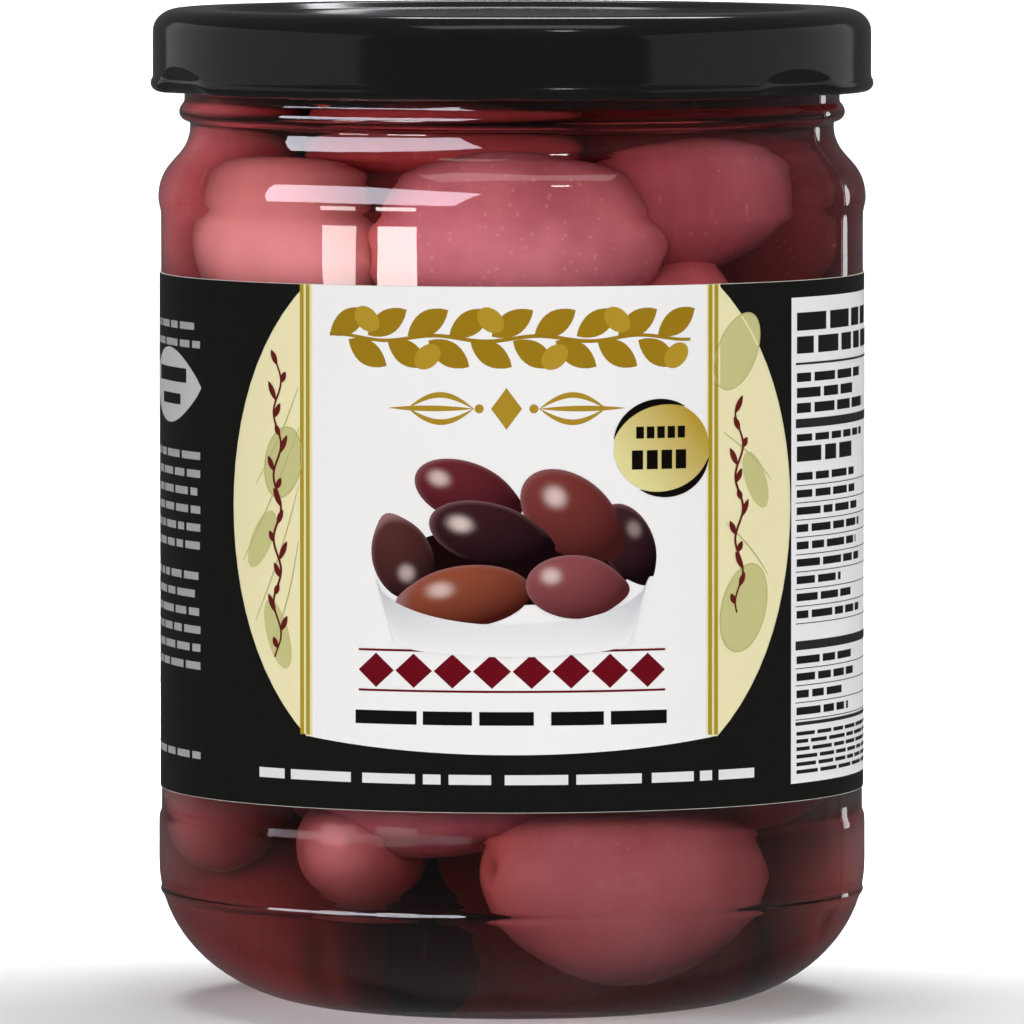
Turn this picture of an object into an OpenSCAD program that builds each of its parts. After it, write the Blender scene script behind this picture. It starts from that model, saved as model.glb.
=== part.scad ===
// Jar of olives: a twist-off glass jar with a wrap label and a pressed steel lid,
// filled with brine and a packed heap of large olives.
// Millimetres, +Z up. The origin is the centre of the base, on the surface it stands on.
// The middle of the label faces -Y.

/* [Overall] */
// Height of the closed jar, lid included
total_h = 112; // [93:0.5:136]
// Outside diameter of the glass at the label panel
body_d = 79; // [65:0.5:96]

/* [Glass body] */
// Thickness of the side wall
wall = 2.4; // [1.8:0.1:3.2]
// Thickness of the base at its middle
base_t = 3.4; // [2.4:0.1:5]
// Height of the push-up in the middle of the base
push_up = 1.8; // [1:0.1:2.4]
// Reach of the heel curve, in towards the axis
heel_w = 19; // [14:0.5:24]
// Rise of the heel curve
heel_h = 16; // [13:0.5:19]
// Thickness of the glass where the jar stands
heel_t = 4; // [3:0.1:5]
// Width of the flat ring that the jar stands on
ring_w = 1.2; // [0.6:0.1:2]
// How far the heel and the shoulder stand proud of the label panel
band_proud = 0.3; // [0.25:0.05:0.8]
// Height of the straight band above the heel curve
heel_band_h = 4.5; // [2:0.5:7]
// Height of the slope between a band and the label panel
band_slope_h = 1.3; // [0.6:0.1:2.5]
// Height of the straight band under the shoulder
shoulder_band_h = 1.5; // [0.5:0.1:4]

/* [Neck and finish] */
// Depth of the shoulder's widest line below the rim
shoulder_drop = 19.1; // [18:0.1:24]
// How far the neck lies inside the shoulder's widest line
neck_in = 3.6; // [3:0.1:5]
// Slope of the shoulder, in degrees from level
shoulder_slope = 48; // [35:1:55]
// Radius that rounds the top of the shoulder
shoulder_r = 3; // [1.5:0.1:3.5]
// Radius in the corner between the shoulder and the neck
neck_r = 1.2; // [0.5:0.1:2]
// How far the wall above the bead stands proud of the neck
finish_proud = 0.65; // [0.3:0.05:1.2]
// Thickness of the wall at the mouth
finish_wall = 2.9; // [2.2:0.1:3.6]
// Depth of the bead below the rim
bead_drop = 10.6; // [10:0.1:12]
// Radius of the bead's section
bead_r = 1.1; // [0.8:0.05:1.4]
// How far the bead stands proud of the wall above it
bead_proud = 0.65; // [0.3:0.05:0.8]
// Radius that rounds the edges of the rim
rim_r = 1; // [0.5:0.1:1.3]
// How far the thread starts stand proud
thread_proud = 1.25; // [0.8:0.05:1.6]
// Height of a thread start
thread_h = 1.5; // [1:0.1:2]
// Angle that each thread start covers
thread_sweep = 34; // [20:1:45]

/* [Lid] */
// Height of the lid
lid_h = 9.3; // [8.6:0.1:9.8]
// Thickness of the steel
lid_t = 0.3; // [0.2:0.05:0.5]
// Thickness of the sealing ring under the lid
seal_t = 0.7; // [0.4:0.1:1]
// Gap between the thread starts and the inside of the lid
lid_play = 2; // [1.4:0.1:2.6]
// Width of the lid's rounded edge, seen from above
edge_w = 3; // [1:0.1:3.4]
// Height of the lid's rounded edge
edge_h = 2.5; // [1:0.1:3.5]
// Depth of the sunk disc in the lid's top
disc_drop = 0.8; // [0.3:0.1:1]
// Width of the slope round the sunk disc
disc_slope_w = 1.2; // [0.8:0.1:2]
// Radius of the rolled lower edge
curl_r = 0.95; // [0.7:0.05:1.1]
// How far the rolled edge stands proud of the lid's side
curl_proud = 0.25; // [0.1:0.05:0.5]
// Number of lugs, and of the thread starts that they hook under
lug_count = 6; // [4, 6, 8]
// Angle that each lug covers
lug_sweep = 14; // [8:1:20]
// Angle that the dent outside each lug covers
dent_sweep = 22; // [14:1:30]
// Radius of the dent's section
dent_r = 1.7; // [1.2:0.1:1.8]
// How far the first lug is turned from the middle of the label
lug_turn = -6; // [-30:1:30]

/* [Label] */
// Thickness of the label
label_t = 0.15; // [0.1:0.01:0.2]
// Gap between the label's lower edge and the panel's
label_low_gap = 2.7; // [0.5:0.1:6]
// Gap between the label's upper edge and the panel's
label_high_gap = 6.7; // [0.5:0.1:12]
// Width of the strip of bare glass left between the label's ends
label_end_gap = 7; // [1:0.5:20]

/* [Contents] */
// Depth of the brine's surface below the rim
brine_drop = 7.5; // [5:0.5:9]
// Length of an olive
olive_l = 30; // [24:0.5:38]
// Thickness of an olive
olive_w = 19; // [15:0.5:24]
// Depth of the hollows between the olives at the heap's outside
olive_dip = 6; // [3:0.5:8]
// Layer of brine between the heap and the glass
heap_gap = 0.8; // [0.5:0.1:2]
// Depth of brine over the top of the heap
heap_cover = 3; // [1.5:0.5:12]

/* [Hidden] */
$fn = 96;
arc_steps = 12;
front = -90;              // where the middle of the label faces
fit_gap = 0.1;            // between the lugs and the thread starts
seal_lap = 0.3;           // how far the sealing ring passes the rim, each way
bite = 0.4;               // how far a joined shape runs into the one that carries it
heap_square = 6;          // how square the heap's section is
heap_turns = 42;          // points round the heap
heap_rings = 26;          // rings of points up the heap
heap_rows = 8;            // rows of olives up the heap's outside
heap_seed = 7;

panel_r = body_d / 2;
band_r = panel_r + band_proud;
inner_r = panel_r - wall;
stand_r = band_r - heel_w;
glass_h = total_h - lid_t - seal_t;
shoulder_z = glass_h - shoulder_drop;
panel_low = heel_h + heel_band_h + band_slope_h;
panel_high = shoulder_z - shoulder_band_h - band_slope_h;
neck_out_r = band_r - neck_in;
finish_r = neck_out_r + finish_proud;
mouth_r = finish_r - finish_wall;
bead_z = glass_h - bead_drop;
thread_r = finish_r + thread_proud;
lid_low = total_h - lid_h;
lid_r = thread_r + lid_play + lid_t;
curl_mid = lid_r + curl_proud - curl_r;
lug_low = lid_low + fit_gap;
lug_high = lid_low + 2 * curl_r - 2 * fit_gap;
lug_in = (finish_r + thread_r) / 2;
disc_r = mouth_r - seal_lap - disc_slope_w;
label_low = panel_low + label_low_gap;
label_high = panel_high - label_high_gap;
label_sweep = 360 - label_end_gap / panel_r * 180 / PI;
brine_z = glass_h - brine_drop;
floor_z = push_up + base_t;
heap_r = inner_r - heap_gap;
heap_low = floor_z + heap_gap;
heap_high = brine_z - heap_cover;
heap_half = (heap_high - heap_low) / 2;
heap_mid = (heap_high + heap_low) / 2;

// Points along an arc of an ellipse, from angle a to angle b.
function arc(mid, w, h, a, b) =
    [for (i = [0:arc_steps]) let (t = a + (b - a) * i / arc_steps)
        [mid[0] + w * cos(t), mid[1] + h * sin(t)]];

// A wall that leaves the vertical at [wide, z], slopes in and turns vertical again at narrow.
function drawn_in(wide, z, narrow, r_out, r_in) =
    let (turn = 90 - shoulder_slope,
         start = [wide - r_out + r_out * cos(turn), z + r_out * sin(turn)],
         corner_z = start[1] + (start[0] - narrow) * tan(shoulder_slope),
         upper_z = corner_z + r_in * tan(turn / 2))
    concat(arc([wide - r_out, z], r_out, r_out, 0, turn),
           arc([narrow + r_in, upper_z], r_in, r_in, 180 + turn, 180));

// The domed middle of the base, from the axis out to radius w.
function dome(w, high, low) =
    [for (i = [0:arc_steps]) let (t = i / arc_steps) [w * t, high - (high - low) * t * t]];

// The glass inside the mouth, from the middle of the floor up to height z.
function cavity(z) = concat(
    dome(stand_r, floor_z, heel_t),
    arc([stand_r, heel_h], inner_r - stand_r, heel_h - heel_t, -90, 0),
    drawn_in(inner_r, shoulder_z - band_proud, mouth_r, shoulder_r, neck_r),
    [[mouth_r, z]]);

module sector(mid, sweep) {
    rotate([0, 0, mid - sweep / 2]) rotate_extrude(angle = sweep) children();
}

module at_lugs() {
    for (i = [0:lug_count - 1]) rotate([0, 0, front + lug_turn + i * 360 / lug_count]) children();
}

module glass_jar() {
    outside = concat(
        dome(stand_r - ring_w, push_up, 0),
        arc([stand_r, heel_h], heel_w, heel_h, -90, 0),
        [[band_r, heel_h + heel_band_h], [panel_r, panel_low],
         [panel_r, panel_high], [band_r, panel_high + band_slope_h]],
        drawn_in(band_r, shoulder_z, neck_out_r, shoulder_r, neck_r),
        [[neck_out_r, bead_z], [finish_r, bead_z]],
        arc([finish_r - rim_r, glass_h - rim_r], rim_r, rim_r, 0, 90));
    inside = concat(
        cavity(glass_h - rim_r),
        arc([mouth_r + rim_r, glass_h - rim_r], rim_r, rim_r, 180, 90));
    back_down = [for (i = [len(inside) - 1:-1:0]) inside[i]];
    color("lightcyan", 0.5) {
        rotate_extrude() {
            polygon(concat(outside, back_down));
            translate([finish_r + bead_proud - bead_r, bead_z]) circle(bead_r);
        }
        at_lugs() sector(0, thread_sweep)
            translate([finish_r - bite, lug_high + fit_gap]) square([thread_proud + bite, thread_h]);
    }
}

module lid() {
    side_low = lid_low + curl_r;
    disc_top = total_h - disc_drop;
    seal_in = mouth_r - seal_lap;
    seal_out = finish_r + seal_lap;
    color("#1b1b1d") difference() {
        union() {
            rotate_extrude() {
                polygon(concat(
                    [[0, disc_top], [disc_r, disc_top], [disc_r + disc_slope_w, total_h]],
                    arc([lid_r - edge_w, total_h - edge_h], edge_w, edge_h, 90, 0),
                    [[lid_r, side_low], [lid_r - lid_t, side_low]],
                    arc([lid_r - edge_w, total_h - edge_h], edge_w - lid_t, edge_h - lid_t, 0, 90),
                    [[seal_out, total_h - lid_t], [seal_out, glass_h], [seal_in, glass_h],
                     [seal_in, total_h - lid_t], [disc_r, disc_top - lid_t], [0, disc_top - lid_t]]));
                translate([curl_mid, side_low]) circle(curl_r);
            }
            at_lugs() sector(0, lug_sweep)
                translate([lug_in, lug_low]) square([curl_mid - lug_in, lug_high - lug_low]);
        }
        at_lugs() sector(0, dent_sweep)
            translate([curl_mid + curl_r + dent_r / 2, lid_low]) circle(dent_r);
    }
}

module label() {
    color("white") sector(front, label_sweep)
        translate([panel_r, label_low]) square([label_t, label_high - label_low]);
}

// Distance from the heap's middle to its smooth outline, at an angle above level.
function heap_reach(tilt) =
    pow(pow(abs(cos(tilt)) / heap_r, heap_square) + pow(abs(sin(tilt)) / heap_half, heap_square),
        -1 / heap_square);

function heap_point(turn, tilt, dip) =
    let (d = heap_reach(tilt) - dip)
    [d * cos(tilt) * cos(turn), d * cos(tilt) * sin(turn), heap_mid + d * sin(tilt)];

// Each outer olive as [centre, direction that it lies along].
olive_spots = [for (row = [0:heap_rows - 1])
    let (tilt = -90 + 180 * (row + 0.5) / heap_rows,
         n = max(1, round(2 * PI * heap_reach(tilt) * cos(tilt) / olive_l)),
         shift = rands(0, 360 / n, 1, heap_seed + row)[0],
         lean = rands(-25, 25, n, heap_seed + heap_rows + row))
    for (k = [0:n - 1])
        let (turn = shift + k * 360 / n)
        [heap_point(turn, tilt, 0),
         [-sin(turn) * cos(lean[k]), cos(turn) * cos(lean[k]), sin(lean[k])]]];

// How far a point of the outline lies from an olive's middle, as a share of the olive.
function olive_share(p, spot) =
    let (v = p - spot[0], along = v * spot[1], across = norm(v - along * spot[1]))
    pow(2 * along / olive_l, 2) + pow(2 * across / olive_w, 2);

function heap_dip(turn, tilt) =
    let (p = heap_point(turn, tilt, 0))
    olive_dip * min(1, min([for (spot = olive_spots) olive_share(p, spot)]));

// The packed olives as one body, out to its uneven outline.
module heap() {
    rings = [for (i = [0:heap_rings - 1]) -90 + 180 * (i + 0.5) / heap_rings];
    points = concat(
        [heap_point(0, -90, heap_dip(0, -90))],
        [for (tilt = rings) for (k = [0:heap_turns - 1])
            let (turn = 360 * k / heap_turns) heap_point(turn, tilt, heap_dip(turn, tilt))],
        [heap_point(0, 90, heap_dip(0, 90))]);
    top = len(points) - 1;
    last = top - heap_turns;
    faces = [for (k = [0:heap_turns - 1])
        let (next = (k + 1) % heap_turns)
        each concat(
            [[0, 1 + k, 1 + next], [top, last + next, last + k]],
            [for (i = [0:heap_rings - 2])
                let (a = 1 + i * heap_turns, b = a + heap_turns)
                each [[a + k, b + k, b + next], [a + k, b + next, a + next]]])];
    polyhedron(points, faces);
}

module olives() {
    color("#a05560") heap();
}

module brine() {
    color("#7a3a34", 0.6) difference() {
        rotate_extrude() polygon(concat(cavity(brine_z), [[0, brine_z]]));
        heap();
    }
}

glass_jar();
lid();
label();
brine();
olives();
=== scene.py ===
import bmesh
import bpy
import numpy as np
import random
from math import acos, asin, atan2, cos, degrees, exp, hypot, pi, radians, sin, sqrt, tan
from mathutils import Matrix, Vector, noise


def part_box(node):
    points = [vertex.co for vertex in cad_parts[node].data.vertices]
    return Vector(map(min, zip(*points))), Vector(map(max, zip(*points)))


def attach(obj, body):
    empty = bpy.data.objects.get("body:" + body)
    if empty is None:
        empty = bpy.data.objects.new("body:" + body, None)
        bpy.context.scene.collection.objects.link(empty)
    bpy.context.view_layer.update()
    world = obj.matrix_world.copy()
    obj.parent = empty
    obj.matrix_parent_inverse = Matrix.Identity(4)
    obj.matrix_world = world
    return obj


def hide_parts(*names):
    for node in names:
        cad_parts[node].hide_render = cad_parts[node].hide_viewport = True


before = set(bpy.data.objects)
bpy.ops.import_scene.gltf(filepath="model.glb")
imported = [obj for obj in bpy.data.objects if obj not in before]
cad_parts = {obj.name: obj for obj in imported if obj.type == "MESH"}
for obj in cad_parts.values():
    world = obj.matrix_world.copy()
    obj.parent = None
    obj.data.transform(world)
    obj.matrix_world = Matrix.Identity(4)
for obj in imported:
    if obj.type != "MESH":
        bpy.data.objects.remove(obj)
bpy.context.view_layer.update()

mm = 0.001
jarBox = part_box("glass_jar")
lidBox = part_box("lid")
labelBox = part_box("label")
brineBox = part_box("brine")
bandR = jarBox[1].x / mm          # widest radius of the glass
rimZ = jarBox[1].z / mm
lidTopZ = lidBox[1].z / mm
lidLowZ = lidBox[0].z / mm
brineTopZ = brineBox[1].z / mm
labelR = (labelBox[1].x - labelBox[0].x) / 2 / mm
labelLowZ = labelBox[0].z / mm
labelHighZ = labelBox[1].z / mm


def linkPiece(name, mesh):
    mesh.polygons.foreach_set("use_smooth", [True] * len(mesh.polygons))
    piece = bpy.data.objects.new(name, mesh)
    bpy.context.scene.collection.objects.link(piece)
    return piece


def linkMesh(name, points, faces):
    mesh = bpy.data.meshes.new(name)
    mesh.from_pydata([tuple(c * mm for c in p) for p in points], [], faces)
    mesh.update()
    return linkPiece(name, mesh)


# joins points closer than weld and turns every face outward
def faceOutward(mesh, weld=0.0):
    bm = bmesh.new()
    bm.from_mesh(mesh)
    if weld:
        bmesh.ops.remove_doubles(bm, verts=bm.verts, dist=weld)
    bmesh.ops.recalc_face_normals(bm, faces=bm.faces)
    bm.to_mesh(mesh)
    bm.free()


# evenly spaced values from a to b, both ends included
def evenly(a, b, count):
    return [a + (b - a) * i / count for i in range(count + 1)]


# a point at distance r from the jar's axis, turned from the middle of the label
def aroundJar(r, turn, z):
    return (r * sin(turn), -r * cos(turn), z)


def arcPoints(mid, w, h, a, b, steps=16):
    return [(mid[0] + w * cos(radians(t)), mid[1] + h * sin(radians(t))) for t in evenly(a, b, steps)]


# evenly spaced points along a line of points
def spaced(line, step):
    out = [line[0]]
    for (r0, z0), (r1, z1) in zip(line, line[1:]):
        n = max(1, round(hypot(r1 - r0, z1 - z0) / step))
        out += [(r0 + (r1 - r0) * k / n, z0 + (z1 - z0) * k / n) for k in range(1, n + 1)]
    return out


# rounds the corners of an outline as moulding does, then keeps only the points that its bends need
def softened(line, step=0.2, passes=3, bend=4.0, longest=6.0):
    p = spaced(line, step)
    for _ in range(passes):
        p = [p[0]] + [((a[0] + 2 * b[0] + c[0]) / 4, (a[1] + 2 * b[1] + c[1]) / 4)
                      for a, b, c in zip(p, p[1:], p[2:])] + [p[-1]]
    kept = [p[0]]
    heading = atan2(p[1][1] - p[0][1], p[1][0] - p[0][0])
    for a, b in zip(p[1:], p[2:]):
        way = atan2(b[1] - a[1], b[0] - a[0])
        turned = abs((way - heading + pi) % (2 * pi) - pi)
        if turned > radians(bend) or hypot(a[0] - kept[-1][0], a[1] - kept[-1][1]) > longest:
            kept.append(a)
            heading = way
    kept.append(p[-1])
    return kept


# spins an outline that starts and ends on the axis; reshape moves each point by its turn
def lathe(name, outline, turns, reshape=None):
    points = [(0, 0, outline[0][1])]
    for r, z in outline[1:-1]:
        for turn in turns:
            r1, z1 = reshape(r, z, turn) if reshape else (r, z)
            points.append(aroundJar(r1, radians(turn), z1))
    points.append((0, 0, outline[-1][1]))
    n = len(turns)
    rows = len(outline) - 2
    faces = []
    for k in range(n):
        j = (k + 1) % n
        faces.append((0, 1 + j, 1 + k))
        for i in range(rows - 1):
            a = 1 + i * n
            b = a + n
            faces.append((a + k, a + j, b + j, b + k))
        last = 1 + (rows - 1) * n
        faces.append((last + k, last + j, len(points) - 1))
    piece = linkMesh(name, points, faces)
    faceOutward(piece.data)
    return piece


def evenTurns(count):
    return [360 * k / count for k in range(count)]


def newMaterial(name):
    mat = bpy.data.materials.new(name)
    mat.use_nodes = True
    mat.node_tree.nodes.clear()
    return mat


def put(mat, kind, values=None, **settings):
    node = mat.node_tree.nodes.new("ShaderNode" + kind)
    for key, value in settings.items():
        setattr(node, key, value)
    for key, value in (values or {}).items():
        node.inputs[key].default_value = value
    return node


def wire(mat, source, target):
    mat.node_tree.links.new(source, target)


def noiseNode(mat, scale, detail=3.0, roughness=0.5, where=None):
    node = put(mat, "TexNoise", {"Scale": scale, "Detail": detail, "Roughness": roughness})
    if where is not None:
        wire(mat, where, node.inputs["Vector"])
    return node


def objectPlace(mat):
    return put(mat, "TexCoord").outputs["Object"]


# a colour between a and b by factor; a and b are sockets or colours
def mixColours(mat, factor, a, b, mode="MIX"):
    node = put(mat, "Mix", data_type="RGBA", blend_type=mode)
    for socket, value in ((node.inputs[0], factor), (node.inputs[6], a), (node.inputs[7], b)):
        if isinstance(value, bpy.types.NodeSocket):
            wire(mat, value, socket)
        else:
            socket.default_value = value
    return node.outputs[2]


def mapped(mat, socket, low, high, toLow, toHigh):
    node = put(mat, "MapRange", {"From Min": low, "From Max": high, "To Min": toLow, "To Max": toHigh})
    wire(mat, socket, node.inputs["Value"])
    return node.outputs["Result"]


def bumped(mat, height, strength, distance):
    node = put(mat, "Bump", {"Strength": strength, "Distance": distance})
    wire(mat, height, node.inputs["Height"])
    return node.outputs["Normal"]


def finish(mat, shader, volume=None):
    out = put(mat, "OutputMaterial")
    wire(mat, shader.outputs[0], out.inputs["Surface"])
    if volume:
        wire(mat, volume.outputs[0], out.inputs["Volume"])
    return mat


# clear material whose shadow rays pass straight through, tinted, so that the lamps light what is behind it
def letLampsThrough(mat, shader, tint):
    path = put(mat, "LightPath")
    clear = put(mat, "BsdfTransparent", {"Color": tint})
    mix = put(mat, "MixShader")
    wire(mat, path.outputs["Is Shadow Ray"], mix.inputs[0])
    wire(mat, shader.outputs[0], mix.inputs[1])
    wire(mat, clear.outputs[0], mix.inputs[2])
    return mix


view = dict(away=1.5, height=0.1487, aimZ=0.0552, across=0.1154, near=0.05, far=60)

camera = bpy.data.objects.new("camera", bpy.data.cameras.new("camera"))
bpy.context.scene.collection.objects.link(camera)
camera.location = (0, -view["away"], view["height"])
sight = Vector((0, 0, view["aimZ"])) - camera.location
camera.rotation_euler = sight.to_track_quat("-Z", "Y").to_euler()
camera.data.lens = camera.data.sensor_width * sight.length / view["across"]
camera.data.clip_start = view["near"]
camera.data.clip_end = view["far"]
bpy.context.scene.camera = camera
bpy.context.scene.view_settings.view_transform = "Standard"

# turn and up point from the jar to each lamp, and size is width by height, in metres; fill lamps don't show
# in reflections, a lamp for the glass or for the lid shows only in its reflections, and the olives' lamp only
# brightens them
lampAimZ = 0.06
lamps = {
    "softFront": dict(turn=14, up=17, away=1.6, size=(1.1, 0.4), power=10.2, use="fill"),
    "softLeft": dict(turn=-50, up=12, away=1.2, size=(0.5, 0.5), power=5.2, use="fill"),
    "softRight": dict(turn=80, up=27, away=1.3, size=(0.6, 0.5), power=4.8, use="fill"),
    "softTop": dict(turn=6, up=74, away=1.1, size=(0.8, 0.35), power=1.6, use="all"),
    "smallHigh": dict(turn=20, up=50, away=1.0, size=(0.09, 0.06), power=0.3, use="all"),
    "oliveFill": dict(turn=-12, up=14, away=1.4, size=(0.9, 0.4), power=10, use="olives"),
    "edgeRight": dict(turn=141, up=4, away=1.0, size=(0.05, 0.34), power=0.13, use="glass"),
    "windowNear": dict(turn=-36.8, up=0, away=0.637, size=(0.147, 0.085), power=0.70, use="glass",
                       tint="window"),
    "windowFar": dict(turn=-56.6, up=0, away=0.634, size=(0.135, 0.085), power=0.46, use="glass",
                      tint="window"),
    "sheen": dict(turn=-52, up=24, away=1.0, size=(1.4, 0.60), power=30, use="glass", tint="sheen"),
    "cardLeft": dict(turn=-97, up=13, away=0.8, size=(1.8, 0.5), power=1.05, use="lid"),
    "cardRight": dict(turn=92, up=13, away=0.8, size=(1.8, 0.5), power=1.05, use="lid"),
    "rimLight": dict(turn=176, up=42, away=1.0, size=(0.30, 0.10), power=0.7, use="lid"),
}
lampTints = {"fill": (1.0, 0.985, 0.975), "all": (0.98, 0.985, 1.0), "glass": (1.0, 1.0, 1.0),
             "lid": (0.97, 0.96, 1.0), "olives": (1.0, 1.0, 1.0), "floor": (1, 1, 1),
             "window": (1.0, 0.97, 0.93), "sheen": (0.91, 0.88, 1.0)}
# two more hang over the floor behind the jar
floorLamps = {
    "floorNear": dict(place=(0, 0.40, 0.9), aim=(0, 0.62, 0), size=(0.36, 0.9), power=5.6, spread=50),
    "floorFar": dict(place=(0, 4.0, 1.8), aim=(0, 4.01, 0), size=(0.9, 5.2), power=38, spread=50),
}


def hangLamp(name, place, aim, size, power, colour):
    data = bpy.data.lights.new(name, "AREA")
    data.shape = "RECTANGLE"
    data.size, data.size_y = size
    data.energy = power
    data.color = colour
    light = bpy.data.objects.new(name, data)
    bpy.context.scene.collection.objects.link(light)
    light.location = place
    light.rotation_euler = (aim - place).to_track_quat("-Z", "Y").to_euler()
    light.visible_camera = False
    return light


def hangLamps():
    middle = Vector((0, 0, lampAimZ))
    shines = {use: bpy.data.collections.new(use + "Shine") for use in ("glass", "lid", "olives")}
    for name, lamp in lamps.items():
        turn, up, use = radians(lamp["turn"]), radians(lamp["up"]), lamp["use"]
        way = Vector((sin(turn) * cos(up), -cos(turn) * cos(up), sin(up)))
        light = hangLamp(name, middle + way * lamp["away"], middle, lamp["size"], lamp["power"],
                         lampTints[lamp.get("tint", use)])
        light.visible_glossy = use not in ("fill", "olives")
        light.visible_diffuse = use not in ("glass", "lid")
        light.visible_transmission = False
        if use in shines:
            light.light_linking.receiver_collection = shines[use]
    for name, lamp in floorLamps.items():
        light = hangLamp(name, Vector(lamp["place"]), Vector(lamp["aim"]), lamp["size"], lamp["power"],
                         lampTints["floor"])
        light.data.spread = radians(lamp["spread"])
        light.visible_glossy = False
        light.visible_transmission = False


# the room gives the jar little light of its own, and its backdrop looks pale
room = dict(frontFrom=-0.80, frontTo=-0.66, frontGlow=0.04, glow=0.09, backdrop=0.85,
            colour=(0.97, 0.98, 1.0, 1), floorHalf=14.0, floorDark=(0.86, 0.86, 0.86, 1),
            floorLight=(0.9, 0.9, 0.9, 1))


def lightRoom():
    world = bpy.data.worlds.new("room")
    bpy.context.scene.world = world
    world.use_nodes = True
    tree = world.node_tree
    place = tree.nodes.new("ShaderNodeTexCoord")
    split = tree.nodes.new("ShaderNodeSeparateXYZ")
    front = tree.nodes.new("ShaderNodeMapRange")      # the wall in front of the label is the dimmest
    front.inputs["From Min"].default_value = room["frontFrom"]
    front.inputs["From Max"].default_value = room["frontTo"]
    front.inputs["To Min"].default_value = room["frontGlow"]
    front.inputs["To Max"].default_value = room["glow"]
    tree.links.new(place.outputs["Generated"], split.inputs[0])
    tree.links.new(split.outputs["Y"], front.inputs["Value"])
    path = tree.nodes.new("ShaderNodeLightPath")
    seen = tree.nodes.new("ShaderNodeMix")
    factor, otherRays, cameraRays = seen.inputs[0], seen.inputs[2], seen.inputs[3]
    cameraRays.default_value = room["backdrop"]
    tree.links.new(path.outputs["Is Camera Ray"], factor)
    tree.links.new(front.outputs["Result"], otherRays)
    tree.links.new(seen.outputs[0], tree.nodes["Background"].inputs["Strength"])
    tree.nodes["Background"].inputs["Color"].default_value = room["colour"]


def layFloor():
    half = room["floorHalf"]
    mesh = bpy.data.meshes.new("floor")
    corners = [(-half, -half, 0), (half, -half, 0), (half, half, 0), (-half, half, 0)]
    mesh.from_pydata(corners, [], [(0, 1, 2, 3)])
    floor = bpy.data.objects.new("floor", mesh)
    bpy.context.scene.collection.objects.link(floor)
    mat = newMaterial("floorPaint")
    grain = noiseNode(mat, 40, 2, where=objectPlace(mat))
    shader = put(mat, "BsdfPrincipled", {"Roughness": 0.6})
    wire(mat, mixColours(mat, grain.outputs["Fac"], room["floorDark"], room["floorLight"]),
         shader.inputs["Base Color"])
    mesh.materials.append(finish(mat, shader))
    floor.visible_glossy = False      # the pale floor doesn't veil the dark lacquer and the glass


hangLamps()
lightRoom()
layFloor()
print("camera, lamps and floor are set")


glass = dict(wall=2.4, baseT=3.4, pushUp=1.8, heelW=19, heelH=16, heelT=4, ringW=1.2,
             bandProud=0.3, heelBandH=4.5, slopeH=1.3, heelStepH=0.6, shoulderBandH=1.5,
             shoulderDrop=19.1, neckIn=3.6, slope=48, shoulderR=3, neckR=1.2, softShoulderR=5.5,
             softNeckR=4.6, finishProud=0.65, finishWall=2.9, beadDrop=10.6, beadR=1.1, beadProud=0.65,
             rimR=1, seamTurn=68, seamProud=0.07, seamWide=0.5, seamStartZ=3, seamFade=4,
             heelSeamZ=12.7, heelSeamH=0.42, heelSeamProud=0.22, heelSeamFine=0.1, heelSeamIn=5, turns=180,
             tint=(0.97, 0.985, 0.975, 1), shadeTint=(0.96, 0.97, 0.965, 1), dryShine=1.0, wetShine=0.08,
             stepReach=1.3, wetFloorZ=20)
panelR = bandR - glass["bandProud"]
innerR = panelR - glass["wall"]
standR = bandR - glass["heelW"]
shoulderZ = rimZ - glass["shoulderDrop"]
neckR = bandR - glass["neckIn"]
finishR = neckR + glass["finishProud"]
mouthR = finishR - glass["finishWall"]
beadZ = rimZ - glass["beadDrop"]
floorZ = glass["pushUp"] + glass["baseT"]
panelLowZ = glass["heelH"] + glass["heelBandH"] + glass["slopeH"]
panelHighZ = shoulderZ - glass["shoulderBandH"] - glass["slopeH"]


# the underside or the floor of the glass: a shallow curve from the axis out to w
def dome(w, high, low, steps=14):
    return [(w * i / steps, high - (high - low) * (i / steps) ** 2) for i in range(steps + 1)]


# the wall's line where it leaves the vertical at wide, slopes in and turns up again at narrow
def drawnIn(wide, z, narrow, rOut, rIn):
    bend = 90 - glass["slope"]
    start = (wide - rOut + rOut * cos(radians(bend)), z + rOut * sin(radians(bend)))
    cornerZ = start[1] + (start[0] - narrow) * tan(radians(glass["slope"]))
    upperZ = cornerZ + rIn * tan(radians(bend) / 2)
    return (arcPoints((wide - rOut, z), rOut, rOut, 0, bend)
            + arcPoints((narrow + rIn, upperZ), rIn, rIn, 180 + bend, 180))


def insideLine(topZ):
    heelH = glass["heelH"]
    return (dome(standR, floorZ, glass["heelT"])
            + arcPoints((standR, heelH), innerR - standR, heelH - glass["heelT"], -90, 0, 24)
            + drawnIn(innerR, shoulderZ - glass["bandProud"], mouthR, glass["shoulderR"], glass["neckR"])
            + [(mouthR, topZ)])


# a thin ridge on the heel's curve, where the mould's base plate meets its walls
def withHeelSeam(line):
    heelR = standR + glass["heelSeamIn"]
    out = []
    for (r0, z0), (r1, z1) in zip(line, line[1:]):
        near = abs(z0 - glass["heelSeamZ"]) < 2 and r0 > heelR
        out += spaced([(r0, z0), (r1, z1)], glass["heelSeamFine"])[:-1] if near else [(r0, z0)]
    out.append(line[-1])

    def ridge(z):
        return glass["heelSeamProud"] * exp(-((z - glass["heelSeamZ"]) / glass["heelSeamH"]) ** 2)

    return [(r + ridge(z) if r > heelR else r, z) for r, z in out]


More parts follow.
